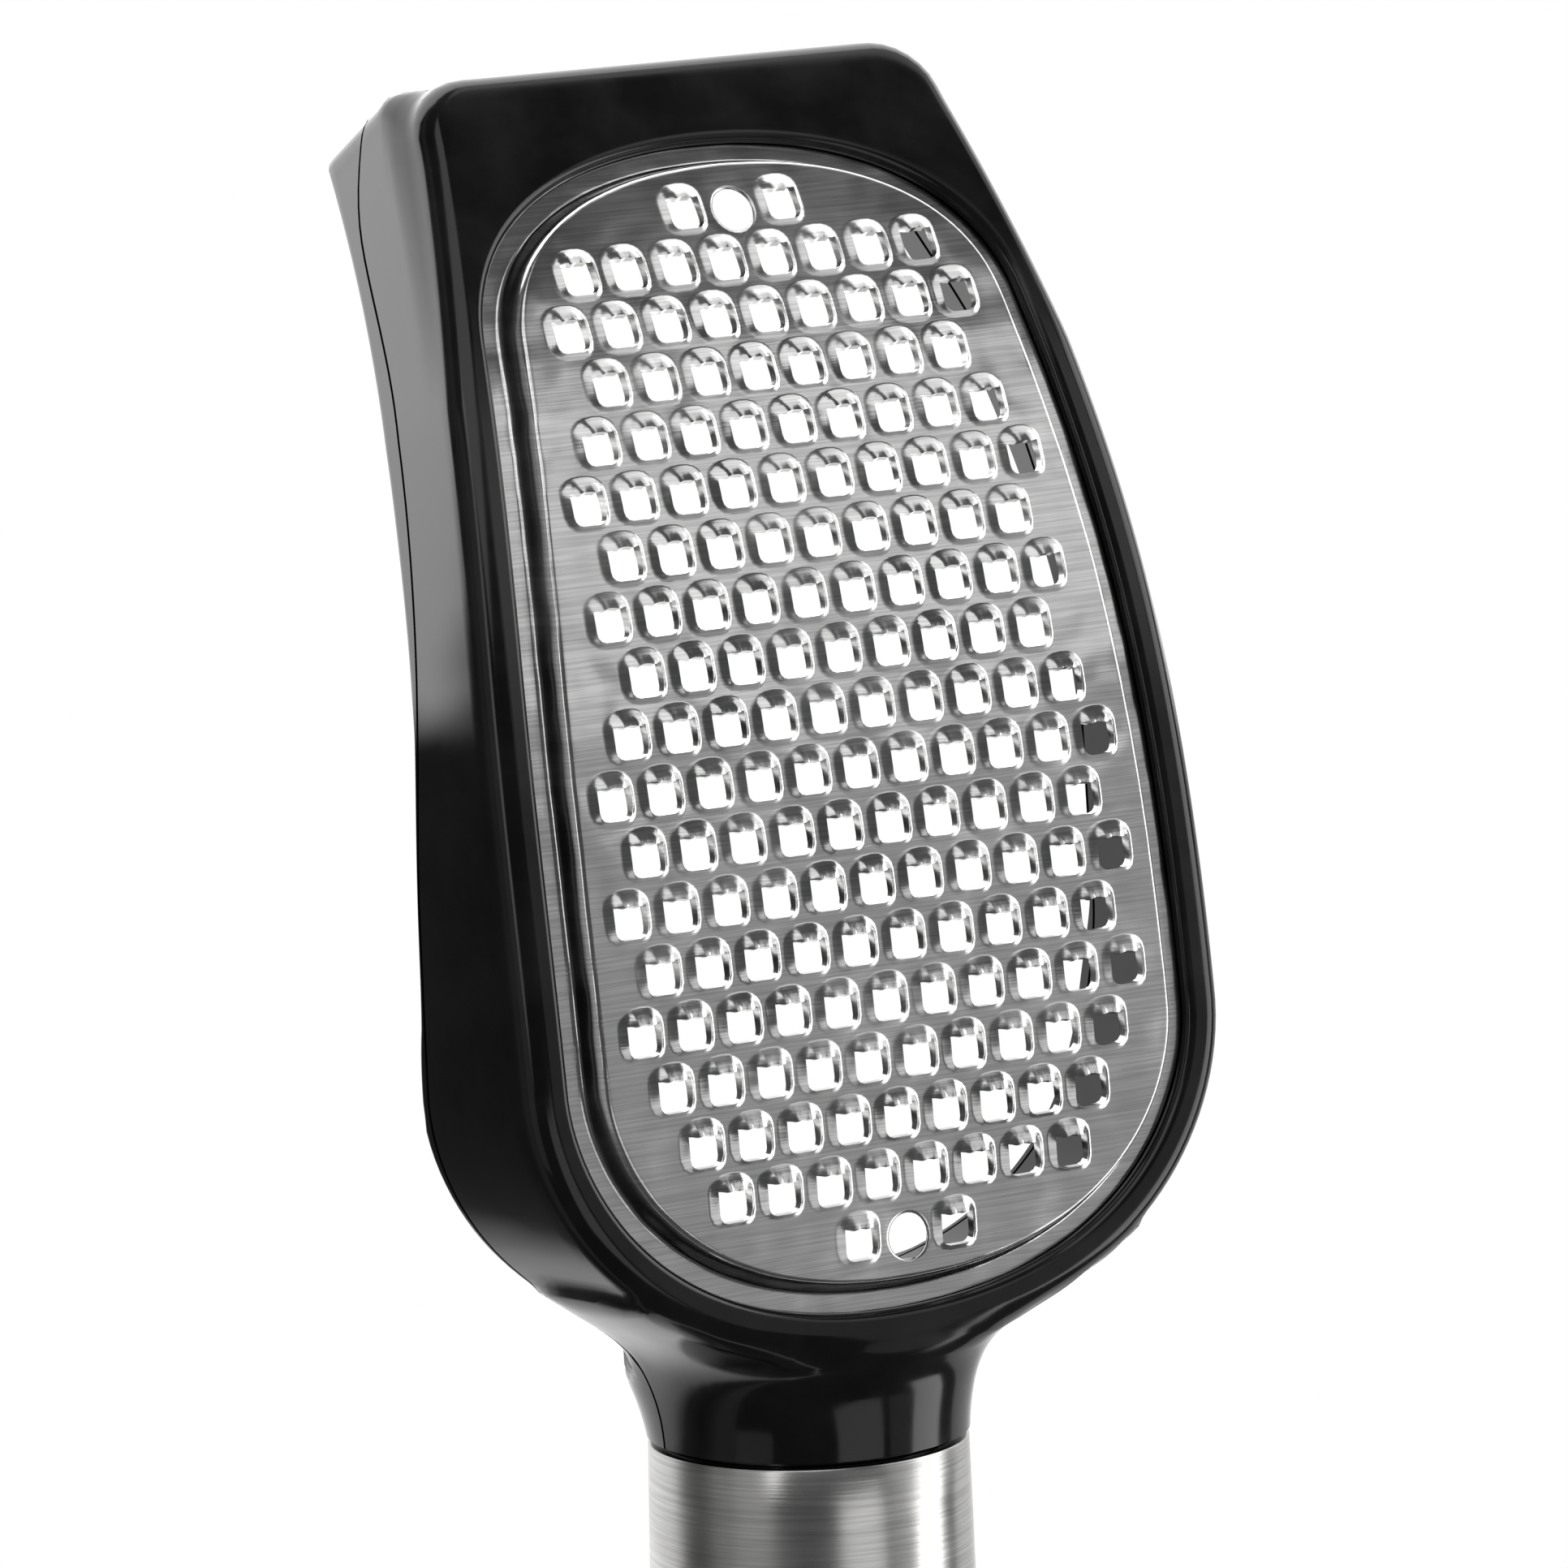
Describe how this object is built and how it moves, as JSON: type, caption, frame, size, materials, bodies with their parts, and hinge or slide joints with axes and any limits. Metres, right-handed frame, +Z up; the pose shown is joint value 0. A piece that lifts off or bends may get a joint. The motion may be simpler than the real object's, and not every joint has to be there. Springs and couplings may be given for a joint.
{
  "type": "hand grater",
  "caption": "Hand grater: a curved stainless plate of punched, hooded teeth in a black moulded head, on a brushed steel tube handle with a hanging eye.",
  "frame": {"origin": "centre of the bounding box's bottom face, on the surface that the grater lies on", "axes": "+X across the head, +Y from the handle's end towards the head's end, +Z up, on the toothed side"},
  "size_m": [0.0632, 0.2474, 0.0358],
  "materials": {
    "black_plastic": "moulded, high gloss",
    "plate_steel": "fine brushed, punched",
    "tube_steel": "brushed round the tube"
  },
  "bodies": {
    "root": {"front_shell": "black_plastic", "back_shell": "black_plastic", "grating_plate": "plate_steel", "handle_tube": "tube_steel", "end_cap": "black_plastic"}
  },
  "joints": []
}
